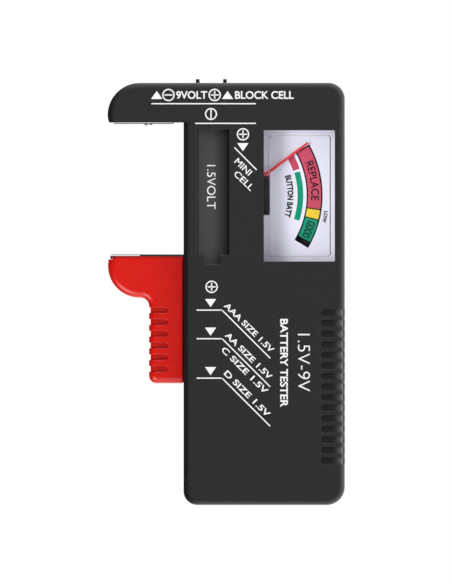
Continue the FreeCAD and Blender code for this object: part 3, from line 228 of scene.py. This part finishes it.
# ---------------------------------------------------------------- stage

def make_camera():
    data = bpy.data.cameras.new("camera")
    data.type = "ORTHO"
    data.ortho_scale = VIEW_HEIGHT * MM
    data.clip_end = CLIP_END
    camera = bpy.data.objects.new("camera", data)
    camera.location = (VIEW_X * MM, -VIEW_DISTANCE * MM, VIEW_Z * MM)
    camera.rotation_euler = (math.pi / 2, 0, 0)
    bpy.context.collection.objects.link(camera)
    bpy.context.scene.camera = camera


def area_light(name, place, aim, size, power, only):
    """Rectangular soft light at place, facing aim. Where only isn't empty, it lights just those pieces."""
    data = bpy.data.lights.new(name, "AREA")
    data.shape = "RECTANGLE"
    data.size, data.size_y = size[0] * MM, size[1] * MM
    data.energy = power
    light = bpy.data.objects.new(name, data)
    light.location = Vector(place) * MM
    direction = Vector(aim) * MM - light.location
    light.rotation_euler = direction.to_track_quat("-Z", "Y").to_euler()
    light.visible_camera = False
    light.visible_transmission = False
    bpy.context.collection.objects.link(light)
    if only:
        lit = bpy.data.collections.new(f"{name}_lit")
        for piece in only:
            lit.objects.link(bpy.data.objects[piece])
        light.light_linking.receiver_collection = lit


def studio_strength(tree):
    """Radiance by direction: bright above, right and behind and dark on the left, so that the rounded
    edges show."""
    place = tree.nodes.new("ShaderNodeTexCoord")
    split = tree.nodes.new("ShaderNodeSeparateXYZ")
    tree.links.new(place.outputs["Generated"], split.inputs["Vector"])
    along = split.outputs["Y"]
    squared = math_node(tree, "MULTIPLY", along, along)
    from_axis = math_node(tree, "SQRT", math_node(tree, "SUBTRACT", 1.0, squared))
    aside = smooth_step(tree, from_axis, SIDE_FROM, SIDE_TO)
    straight = smooth_step(tree, along, REAR_FROM, REAR_TO)
    rear = math_node(tree, "SUBTRACT", 1.0, math_node(tree, "MULTIPLY", straight, REAR_DIM))
    behind = math_node(tree, "MULTIPLY", smooth_step(tree, along, BEHIND_FROM, BEHIND_TO), rear)
    round_it = math_node(tree, "MAXIMUM", aside, behind)
    not_left = smooth_step(tree, split.outputs["X"], LEFT_DARK, LEFT_CLEAR)
    bright = math_node(tree, "MULTIPLY", math_node(tree, "MULTIPLY", round_it, not_left), SIDE_LIFT)
    return math_node(tree, "ADD", bright, WORLD_BASE)


def make_world():
    """White backdrop for the camera, and the soft studio for everything that light reaches."""
    world = bpy.data.worlds.new("studio")
    bpy.context.scene.world = world
    world.use_nodes = True
    tree = world.node_tree
    tree.nodes.clear()
    output = tree.nodes.new("ShaderNodeOutputWorld")
    mix = tree.nodes.new("ShaderNodeMixShader")
    path = tree.nodes.new("ShaderNodeLightPath")
    backdrop = tree.nodes.new("ShaderNodeBackground")
    studio = tree.nodes.new("ShaderNodeBackground")
    backdrop.inputs["Color"].default_value = BACKDROP
    studio.inputs["Color"].default_value = STUDIO_TINT
    tree.links.new(studio_strength(tree), studio.inputs["Strength"])
    tree.links.new(path.outputs["Is Camera Ray"], mix.inputs["Fac"])
    tree.links.new(studio.outputs["Background"], mix.inputs[1])
    tree.links.new(backdrop.outputs["Background"], mix.inputs[2])
    tree.links.new(mix.outputs["Shader"], output.inputs["Surface"])
    world.cycles_visibility.transmission = False


def make_floor():
    """Pale round floor just under the tester, wide enough for every view. It takes the tester's
    shadow, and lets the studio's light come up to the tester from below."""
    mesh = bpy.data.meshes.new("floor")
    build = bmesh.new()
    bmesh.ops.create_circle(build, cap_ends=True, segments=FLOOR_CORNERS, radius=FLOOR_RADIUS * MM)
    build.to_mesh(mesh)
    build.free()
    floor = bpy.data.objects.new("floor", mesh)
    floor.location.z = cad_low.z - FLOOR_GAP * MM
    bpy.context.collection.objects.link(floor)
    floor.data.materials.append(floor_material())
    floor.visible_diffuse = False
    floor.visible_glossy = False
    floor.visible_shadow = False


# ---------------------------------------------------------------- materials

def new_material(name):
    """A Principled material, its tree and its shader."""
    material = bpy.data.materials.new(name)
    material.use_nodes = True
    tree = material.node_tree
    return material, tree, tree.nodes["Principled BSDF"]


def set_inputs(node, values):
    for name, value in values.items():
        node.inputs[name].default_value = value


def noise(tree, scale, detail, rough=0.5, stretch=EVEN):
    """Noise in the piece's own coordinates; scale is in features per metre."""
    place = tree.nodes.new("ShaderNodeTexCoord")
    mapping = tree.nodes.new("ShaderNodeMapping")
    mapping.inputs["Scale"].default_value = stretch
    texture = tree.nodes.new("ShaderNodeTexNoise")
    set_inputs(texture, {"Scale": scale, "Detail": detail, "Roughness": rough})
    tree.links.new(place.outputs["Object"], mapping.inputs["Vector"])
    tree.links.new(mapping.outputs["Vector"], texture.inputs["Vector"])
    return texture.outputs["Fac"]


def ramp(tree, value, stops, interpolation="LINEAR"):
    """Colour ramp over value; stops are (position, colour or grey level)."""
    node = tree.nodes.new("ShaderNodeValToRGB")
    node.color_ramp.interpolation = interpolation
    while len(node.color_ramp.elements) < len(stops):
        node.color_ramp.elements.new(0.5)
    for element, (place, colour) in zip(node.color_ramp.elements, stops):
        element.position = place
        element.color = (*colour, 1) if isinstance(colour, tuple) else (colour, colour, colour, 1)
    tree.links.new(value, node.inputs["Fac"])
    return node.outputs["Color"]


def mottle(tree, shader, socket, pattern, low, high):
    """Varies one of the shader's inputs from low to high with a noise pattern."""
    tone = ramp(tree, pattern, [(NOISE_LOW, low), (NOISE_HIGH, high)])
    tree.links.new(tone, shader.inputs[socket])


def mix_colour(tree, share, first, second):
    """Colour that goes from first to second as share goes from 0 to 1. Either may be a plain colour."""
    node = tree.nodes.new("ShaderNodeMix")
    node.data_type = "RGBA"
    tree.links.new(share, node.inputs["Factor"])
    for name, colour in (("A", first), ("B", second)):
        if isinstance(colour, tuple):
            node.inputs[name].default_value = colour
        else:
            tree.links.new(colour, node.inputs[name])
    return node.outputs["Result"]


def object_axes(tree):
    """X, Y and Z of the piece's own coordinates."""
    place = tree.nodes.new("ShaderNodeTexCoord")
    split = tree.nodes.new("ShaderNodeSeparateXYZ")
    tree.links.new(place.outputs["Object"], split.inputs["Vector"])
    return split.outputs["X"], split.outputs["Y"], split.outputs["Z"]


def share_between(tree, value, low, high):
    """0 where value is low, 1 where it is high, and a straight line between."""
    node = tree.nodes.new("ShaderNodeMapRange")
    set_inputs(node, {"From Min": low, "From Max": high})
    tree.links.new(value, node.inputs["Value"])
    return node.outputs["Result"]


def bump(tree, shader, height, distance, strength):
    """Raises the surface by height, in shares of distance millimetres."""
    node = tree.nodes.new("ShaderNodeBump")
    set_inputs(node, {"Distance": distance * MM, "Strength": strength})
    tree.links.new(height, node.inputs["Height"])
    tree.links.new(node.outputs["Normal"], shader.inputs["Normal"])


def math_node(tree, operation, *values):
    node = tree.nodes.new("ShaderNodeMath")
    node.operation = operation
    for socket, value in zip(node.inputs, values):
        if isinstance(value, (int, float)):
            socket.default_value = value
        else:
            tree.links.new(value, socket)
    return node.outputs["Value"]


def smooth_step(tree, value, low, high):
    node = tree.nodes.new("ShaderNodeMapRange")
    node.interpolation_type = "SMOOTHSTEP"
    set_inputs(node, {"From Min": low, "From Max": high})
    tree.links.new(value, node.inputs["Value"])
    return node.outputs["Result"]


def between(tree, value, low, high):
    above = math_node(tree, "GREATER_THAN", value, low)
    return math_node(tree, "MULTIPLY", above, math_node(tree, "LESS_THAN", value, high))


def in_recess(tree, x, y, z):
    """1 on the walls of the cell-shaped recess, and 0 elsewhere."""
    floor_y = CASE_FACE + (TROUGH_DEPTH + TROUGH_MARGIN) * MM
    across = between(tree, x, (TROUGH_X - TROUGH_HALF) * MM, (TROUGH_X + TROUGH_HALF) * MM)
    along = between(tree, z, (TROUGH_LOW - TROUGH_MARGIN) * MM, (TROUGH_HIGH + TROUGH_MARGIN) * MM)
    deep = between(tree, y, CASE_FACE + TROUGH_SKIN * MM, floor_y)
    return math_node(tree, "MULTIPLY", math_node(tree, "MULTIPLY", across, along), deep)


def case_tone(tree, x, y, inside):
    """Black speckle, with painted shade and sheen across the recess (dark at its rims, pale along its middle), and
    darker where the covers meet.
    """
    across = share_between(tree, x, (TROUGH_X - TROUGH_HALF) * MM, (TROUGH_X + TROUGH_HALF) * MM)
    # painted shade and sheen: the recess is coloured dark at its rims and pale along its middle, as light falls in
    # a round hollow
    painted_recess_shade = ramp(tree, across, TROUGH_PAINTED_SHADE)
    speckle = ramp(tree, noise(tree, 900, 5, 0.6), [(NOISE_LOW, 0.0107), (NOISE_HIGH, 0.0131)])
    seam = between(tree, y, -SEAM_HALF * MM, SEAM_HALF * MM)
    return mix_colour(tree, seam, mix_colour(tree, inside, speckle, painted_recess_shade), SEAM_TONE)


def case_material():
    """Black ABS: spark-eroded texture outside, and painted shade and sheen in the recess, dark at its rims and
    pale along its middle.
    """
    material, tree, shader = new_material("case_abs")
    set_inputs(shader, {"Specular IOR Level": 0.32, "IOR": 1.5})
    x, y, z = object_axes(tree)
    inside = in_recess(tree, x, y, z)
    tree.links.new(case_tone(tree, x, y, inside), shader.inputs["Base Color"])
    mottle(tree, shader, "Roughness", noise(tree, 2600, 3), 0.50, 0.58)
    outside = math_node(tree, "SUBTRACT", 1.0, inside)
    texture = math_node(tree, "MULTIPLY", noise(tree, 9000, 3, 0.6), outside)
    bump(tree, shader, texture, distance=0.012, strength=0.6)
    return material


def grip_material():
    """Red moulded grip: glossy with a faint orange peel."""
    material, tree, shader = new_material("grip_abs")
    set_inputs(shader, {"Specular IOR Level": 0.24, "IOR": 1.5})
    dark, light = (0.335, 0.0022, 0.0002), (0.365, 0.0030, 0.0004)
    mottle(tree, shader, "Base Color", noise(tree, 500, 4), dark, light)
    mottle(tree, shader, "Roughness", noise(tree, 3000, 3), 0.32, 0.37)
    bump(tree, shader, noise(tree, 3500, 2, 0.4), distance=0.006, strength=0.5)
    return material


def floor_material():
    """Pale matt sheet."""
    material, tree, shader = new_material("floor_sheet")
    set_inputs(shader, {"Roughness": 0.8, "Specular IOR Level": 0.2})
    mottle(tree, shader, "Base Color", noise(tree, 60, 4), 0.50, 0.53)
    return material


def metal_material(name, colour, rough, grain, scale, depth):
    """Metal with fine lines or an even grain."""
    material, tree, shader = new_material(name)
    set_inputs(shader, {"Metallic": 1.0})
    pattern = noise(tree, scale, 3, 0.6, grain)
    dark = tuple(METAL_DARK * c for c in colour)
    mottle(tree, shader, "Base Color", pattern, dark, colour)
    mottle(tree, shader, "Roughness", pattern, *[rough * share for share in METAL_ROUGH])
    bump(tree, shader, pattern, distance=depth, strength=0.5)
    return material


def plastic_material(name, colour, rough, scale, depth, contrast, shine):
    """Plain moulded or lacquered surface with a slight mottle."""
    material, tree, shader = new_material(name)
    set_inputs(shader, {"Specular IOR Level": shine})
    pattern = noise(tree, scale, 3)
    dark = tuple(c * (1 - contrast) for c in colour)
    light = tuple(min(1.0, c * (1 + contrast)) for c in colour)
    mottle(tree, shader, "Base Color", pattern, dark, light)
    mottle(tree, shader, "Roughness", pattern, *[rough * share for share in PLASTIC_ROUGH])
    bump(tree, shader, pattern, distance=depth, strength=0.4)
    return material


def clear_material():
    """Clear moulded cover that lets the lamps through to the dial."""
    material, tree, shader = new_material("clear_styrene")
    set_inputs(shader, {"Base Color": (0.985, 0.985, 1.0, 1), "Transmission Weight": 1.0, "IOR": 1.18})
    mottle(tree, shader, "Roughness", noise(tree, 700, 2), 0.0, 0.012)
    output = tree.nodes["Material Output"]
    mix = tree.nodes.new("ShaderNodeMixShader")
    path = tree.nodes.new("ShaderNodeLightPath")
    clear = tree.nodes.new("ShaderNodeBsdfTransparent")
    clear.inputs["Color"].default_value = (0.96, 0.96, 0.98, 1)
    tree.links.new(path.outputs["Is Shadow Ray"], mix.inputs["Fac"])
    tree.links.new(shader.outputs["BSDF"], mix.inputs[1])
    tree.links.new(clear.outputs["BSDF"], mix.inputs[2])
    tree.links.new(mix.outputs["Shader"], output.inputs["Surface"])
    return material


def resistor_material(name, body):
    """Lacquered resistor with its wires and coloured bands, laid out along the piece's X."""
    low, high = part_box(name)
    material, tree, shader = new_material(f"{name}_lacquer")
    x = object_axes(tree)[0]
    stops = [(0.0, WIRE_TONE), (BODY_FROM, body)]
    for start, end, colour in RESISTOR_BANDS:
        stops += [(start, colour), (end, body)]
    stops.append((BODY_TO, WIRE_TONE))
    tone = ramp(tree, share_between(tree, x, low.x, high.x), stops, "CONSTANT")
    tree.links.new(tone, shader.inputs["Base Color"])
    mottle(tree, shader, "Roughness", noise(tree, 3000, 3), 0.30, 0.42)
    return material


def make_materials():
    """Every material that pieces share, by the name of the record's slot that it finishes."""
    materials = {
        "case_plastic": case_material(),
        "grip_plastic": grip_material(),
        "clear_plastic": clear_material(),
    }
    for slot, *look in METALS:
        materials[slot] = metal_material(*look)
    for slot, *look in PLASTICS:
        materials[slot] = plastic_material(*look)
    return materials


def dress_nodes(materials):
    """Gives every CAD node the material of its record slot."""
    slots = {part["node"]: part["material_slot"] for part in frame["record"]["subparts"]}
    for name, node in NODES.items():
        slot = slots[name]
        if slot in RESISTOR_BODIES:
            material = resistor_material(name, RESISTOR_BODIES[slot])
        else:
            material = materials[FINISHES.get(name, slot)]
        node.data.materials.clear()
        node.data.materials.append(material)


# ---------------------------------------------------------------- printing

def solid_text(body, weight):
    """Block letters as a new bmesh; weight thickens their strokes."""
    curve = bpy.data.curves.new("letters", "FONT")
    curve.body = body
    curve.size = 1.0
    curve.offset = weight
    curve.extrude = 0.5
    curve.resolution_u = 4
    curve.fill_mode = "BOTH"
    text = bpy.data.objects.new("letters", curve)
    bpy.context.collection.objects.link(text)
    bpy.context.view_layer.update()
    solid = bpy.data.meshes.new_from_object(text)
    letters = bmesh.new()
    letters.from_mesh(solid)
    bmesh.ops.remove_doubles(letters, verts=letters.verts, dist=WELD)
    bpy.data.objects.remove(text)
    bpy.data.meshes.remove(solid)
    bpy.data.curves.remove(curve)
    return letters


class Print:
    """Thin closed mesh of letters and shapes on a face that looks along -Y. u is right, v is up."""

    def __init__(self, name, slot, face_y, thickness):
        self.name, self.slot = name, slot
        self.y, self.thickness = face_y, thickness * MM
        self.mesh = bmesh.new()

    def prism(self, points):
        """Closed slab over a convex outline of (x, z) millimetre points."""
        front = [self.mesh.verts.new((x * MM, self.y - self.thickness, z * MM)) for x, z in points]
        back = [self.mesh.verts.new((x * MM, self.y, z * MM)) for x, z in points]
        self.mesh.faces.new(front)
        self.mesh.faces.new(back[::-1])
        for i in range(len(points)):
            j = (i + 1) % len(points)
            self.mesh.faces.new((front[j], front[i], back[i], back[j]))

    def line(self, start, end, width=LINE_WIDTH):
        """Straight bar with round ends."""
        a, b = Vector(start), Vector(end)
        angle = math.atan2(b.y - a.y, b.x - a.x)
        half = width / 2
        points = []
        for centre, first in ((b, angle - math.pi / 2), (a, angle + math.pi / 2)):
            for i in range(END_STEPS + 1):
                turn = first + math.pi * i / END_STEPS
                points.append((centre.x + half * math.cos(turn), centre.y + half * math.sin(turn)))
        self.prism(points)

    def rings(self, centre, radii, angles):
        """Rows of points round centre: for the front and then the back, one row at each radius."""
        rows = []
        for y in (self.y - self.thickness, self.y):
            for radius in radii:
                spots = [(centre[0] + radius * math.cos(a), centre[1] + radius * math.sin(a)) for a in angles]
                rows.append([self.mesh.verts.new((x * MM, y, z * MM)) for x, z in spots])
        return rows

    def sector(self, centre, inner, outer, start, end):
        """Ring sector from start to end degrees, anticlockwise from +X. A whole turn closes on itself."""
        steps = max(2, int(abs(end - start) / ARC_STEP))
        angles = [math.radians(start + (end - start) * i / steps) for i in range(steps + 1)]
        whole = abs(end - start) == 360
        rows = self.rings(centre, (inner, outer), angles[:-1] if whole else angles)
        if whole:
            for row in rows:
                row.append(row[0])
        front_in, front_out, back_in, back_out = rows
        sides = ((front_in, front_out), (front_out, back_out), (back_out, back_in), (back_in, front_in))
        for first, second in sides:
            for i in range(steps):
                self.mesh.faces.new((first[i], first[i + 1], second[i + 1], second[i]))
        if not whole:
            for i in (0, -1):
                self.mesh.faces.new((front_in[i], front_out[i], back_out[i], back_in[i]))

    def polarity(self, centre, sign, radius=SIGN_RADIUS):
        """Circled plus, minus or upright bar."""
        x, z = centre
        self.sector(centre, radius - SIGN_STROKE, radius, 0, 360)
        reach = radius * SIGN_REACH
        clear = SIGN_STROKE / 2 + SIGN_GAP
        if sign in "+-":
            self.line((x - reach, z), (x + reach, z), SIGN_STROKE)
        if sign == "+":
            self.line((x, z + clear), (x, z + reach), SIGN_STROKE)
            self.line((x, z - clear), (x, z - reach), SIGN_STROKE)
        if sign == "|":
            self.line((x, z - reach * BAR_REACH), (x, z + reach * BAR_REACH), SIGN_STROKE)

    def arrow(self, centre, way):
        """Triangle that points up (way 1) or down (way -1)."""
        x, z = centre
        half, tip = ARROW_WIDTH / 2, way * ARROW_HEIGHT / 2
        points = [(x - half, z - tip), (x + half, z - tip), (x, z + tip)]
        self.prism(points if way > 0 else points[::-1])

    def letters(self, body, height, length, weight, place):
        """Text scaled to a cap height and length; place maps (u, v) in millimetres to (x, z)."""
        letters = solid_text(body, weight)
        low = [min(v.co[i] for v in letters.verts) for i in range(3)]
        high = [max(v.co[i] for v in letters.verts) for i in range(3)]
        u_scale = length / (high[0] - low[0])
        v_scale = height / (high[1] - low[1])
        for v in letters.verts:
            x, z = place((v.co.x - low[0]) * u_scale, (v.co.y - low[1]) * v_scale)
            front = v.co.z > (low[2] + high[2]) / 2
            v.co = Vector((x * MM, self.y - (self.thickness if front else 0.0), z * MM))
        scratch = bpy.data.meshes.new("scratch")
        letters.to_mesh(scratch)
        letters.free()
        self.mesh.from_mesh(scratch)
        bpy.data.meshes.remove(scratch)

    def text(self, body, start, height, length, angle, weight):
        """Straight text whose baseline starts at start and runs at angle degrees."""
        c, s = math.cos(math.radians(angle)), math.sin(math.radians(angle))

        def place(u, v):
            return start[0] + u * c - v * s, start[1] + u * s + v * c

        self.letters(body, height, length, weight, place)

    def arc_text(self, body, centre, radius, height, start, end, weight):
        """Text whose baseline follows an arc, read clockwise from start to end degrees."""
        length = math.radians(start - end) * radius

        def place(u, v):
            angle = math.radians(start) - u / radius
            return centre[0] + (radius + v) * math.cos(angle), centre[1] + (radius + v) * math.sin(angle)

        self.letters(body, height, length, weight, place)

    def finish(self, materials):
        bmesh.ops.recalc_face_normals(self.mesh, faces=self.mesh.faces)
        mesh = bpy.data.meshes.new(self.name)
        self.mesh.to_mesh(mesh)
        self.mesh.free()
        piece = bpy.data.objects.new(self.name, mesh)
        bpy.context.collection.objects.link(piece)
        mesh.materials.append(materials[self.slot])
        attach(piece, "housing")


def case_print(name):
    return Print(name, "white_ink", CASE_FACE, INK)


def print_top(materials):
    """Nine-volt marks under the pins, and the sign beside the negative contact."""
    ink = case_print("print_nine_volt")
    ink.arrow((-28.0, TOP_SIGN_Z), 1)
    ink.polarity((-24.95, TOP_SIGN_Z), "-")
    ink.text("9VOLT", (-22.95, TOP_TEXT_Z), TOP_CAPS, 8.1, 0.0, TOP_WEIGHT)
    ink.polarity((-12.9, TOP_SIGN_Z), "+")
    ink.arrow((-9.55, TOP_SIGN_Z), 1)
    ink.text("BLOCK CELL", (-7.6, TOP_TEXT_Z), TOP_CAPS, 15.3, 0.0, TOP_WEIGHT)
    ink.line(*TOP_RULE)
    ink.polarity((-13.86, 101.9), "|", CONTACT_SIGN_RADIUS)
    ink.line(*CONTACT_RULE)
    ink.finish(materials)


def print_button(materials):
    """Marks for small cells, beside the recess."""
    ink = case_print("print_mini_cell")
    ink.polarity((-5.52, 96.6), "+")
    ink.arrow((-5.55, 93.25), -1)
    ink.line((-7.7, 93.1), (-2.05, 87.4))
    ink.text("MINI", (-7.9, 89.3), MINI_CAPS, 5.2, MINI_ANGLE, MINI_WEIGHT)
    ink.text("CELL", (-8.1, 86.05), MINI_CAPS, 6.2, MINI_ANGLE, MINI_WEIGHT)
    ink.finish(materials)


def print_sizes(materials):
    """Where the grip stands for each size of cell."""
    ink = case_print("print_cell_sizes")
    ink.polarity((-13.7, 56.85), "+")
    for z in SIZE_MARKS.values():
        ink.arrow((MARK_X, z + ARROW_LIFT), -1)
        ink.line((MARK_LEFT, z), (MARK_BEND, z))
        ink.line((MARK_BEND, z), (MARK_BEND + MARK_FALL, z - MARK_FALL))
    slope = math.sqrt(0.5)
    for body, mark, along, above, length in SIZE_TEXTS:
        start = (MARK_BEND + (along + above) * slope, SIZE_MARKS[mark] + (above - along) * slope)
        ink.text(body, start, SIZE_CAPS, length, DOWNHILL, SIZE_WEIGHT)
    ink.finish(materials)


def print_title(materials):
    """What the tool is and the voltages it reads, down the right of the front."""
    ink = case_print("print_title")
    for body, start, height, length, weight in TITLES:
        ink.text(body, start, height, length, DOWNWARDS, weight)
    ink.finish(materials)


def print_recess(materials):
    """Voltage printed in the cell-shaped recess, laid on its round surface."""
    ink = case_print("print_recess")
    ink.text("1.5VOLT", RECESS_TEXT, RECESS_CAPS, RECESS_LENGTH, DOWNWARDS, 0.0)
    long_edges = [edge for edge in ink.mesh.edges if edge.calc_length() > CURVED_EDGE * MM]
    bmesh.ops.subdivide_edges(ink.mesh, edges=long_edges, cuts=CURVED_CUTS)
    for v in ink.mesh.verts:
        across = (v.co.x / MM - TROUGH_X) / TROUGH_HALF
        v.co.y += TROUGH_DEPTH * math.sqrt(1.0 - across**2) * MM
    ink.finish(materials)


def print_dial(materials):
    """Artwork on the dial card, one thin layer above another."""
    centre = (PIVOT.x / MM + ARC_SHIFT_X, PIVOT.z / MM + ARC_SHIFT_Z)
    field_y = DIAL_FACE - LAYER * MM
    word_y = field_y - LAYER * MM
    band, rim = (BAND_IN, BAND_OUT), (BAND_IN - BAND_RIM, BAND_OUT + BAND_RIM)
    arcs = (
        ("dial_band_rim", "black_ink", DIAL_FACE, *rim, BLACK_END, BAND_START + 2 * FIELD_GAP),
        ("dial_field_replace", "red_ink", field_y, *band, RED_END + FIELD_GAP, BAND_START),
        ("dial_field_low", "yellow_ink", field_y, *band, YELLOW_END + FIELD_GAP, RED_END - FIELD_GAP),
        ("dial_field_good", "green_ink", field_y, *band, GREEN_END, YELLOW_END - FIELD_GAP),
        ("dial_button_replace", "red_ink", DIAL_FACE, *BUTTON_RED),
        ("dial_button_good", "green_ink", DIAL_FACE, *BUTTON_GREEN),
    )
    for name, slot, face_y, inner, outer, start, end in arcs:
        arc = Print(name, slot, face_y, LAYER)
        arc.sector(centre, inner, outer, start, end)
        arc.finish(materials)
    texts = (("dial_words", DIAL_FACE, DIAL_WORDS), ("dial_band_words", word_y, BAND_WORDS))
    for name, face_y, words in texts:
        lettering = Print(name, "black_ink", face_y, LAYER)
        for body, radius, height, start, end, weight in words:
            lettering.arc_text(body, centre, radius, height, start, end, weight)
        lettering.finish(materials)


# ---------------------------------------------------------------- the scene

make_camera()
make_world()
make_floor()
bpy.context.scene.view_settings.view_transform = "Standard"

materials = make_materials()
dress_nodes(materials)
print_top(materials)
print_button(materials)
print_sizes(materials)
print_title(materials)
print_recess(materials)
print_dial(materials)
for light in LIGHTS:
    area_light(*light)
